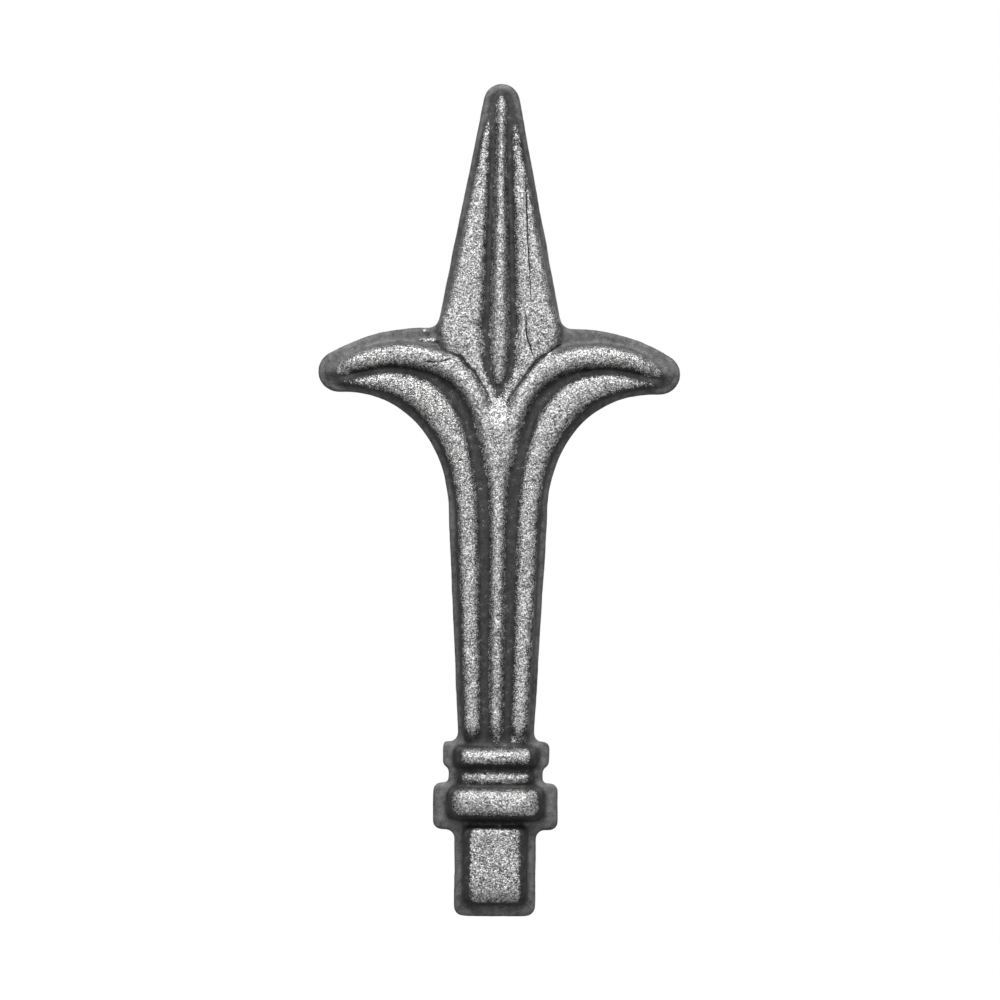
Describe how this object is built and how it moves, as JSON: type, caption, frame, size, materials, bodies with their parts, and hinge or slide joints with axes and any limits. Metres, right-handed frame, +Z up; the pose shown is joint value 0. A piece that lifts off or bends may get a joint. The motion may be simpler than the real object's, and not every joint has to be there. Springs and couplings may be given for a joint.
{
  "type": "fence finial",
  "caption": "Spear-shaped forged steel finial with a ribbed blade, side leaves, a fluted stem, collars and a tang that is welded to the top of a fence picket.",
  "frame": {"origin": "middle of the flat end face of the tang, where the finial is welded to its picket", "axes": "+Z up along the finial from the tang to the tip of the blade, +X to the right seen from the front, front face towards -Y"},
  "size_m": [0.0624, 0.0136, 0.1434],
  "materials": {
    "forged_steel": "raw drop-forged steel, sandy and bright on the raised parts, dark scale in the grooves and on the trimmed flash"
  },
  "bodies": {
    "root": {"finial": "forged_steel"}
  },
  "joints": []
}
